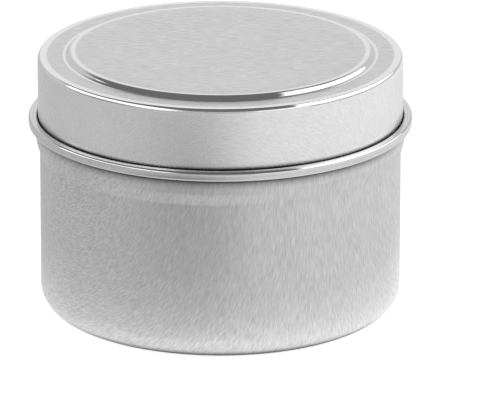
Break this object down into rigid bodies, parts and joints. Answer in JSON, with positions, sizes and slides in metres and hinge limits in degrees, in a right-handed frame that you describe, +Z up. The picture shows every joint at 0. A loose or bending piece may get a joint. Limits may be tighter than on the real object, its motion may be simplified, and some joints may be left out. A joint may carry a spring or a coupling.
{
  "type": "candle tin",
  "caption": "Round seamless tinplate container with a rolled mouth bead, a stepped-in wall, and a plug-in lid with a raised centre panel.",
  "frame": {"origin": "middle of the base, on the surface the tin stands on", "axes": "+Z up along the tin's axis, through the middle of the lid; X and Y lie in the plane of the base"},
  "size_m": [0.065, 0.065, 0.045],
  "materials": {
    "tin_body": "satin tinplate with a fine upright brushed grain",
    "lid": "satin tinplate with a fine brushed grain, a little lighter than the body"
  },
  "bodies": {
    "tin": {"tin_body": "tin_body"},
    "lid": {"lid": "lid"}
  },
  "joints": [
    {"name": "lid_lift", "type": "slide", "parent": "tin", "child": "lid", "axis": [0, 0, 1], "range_m": [0, 0.03]}
  ]
}
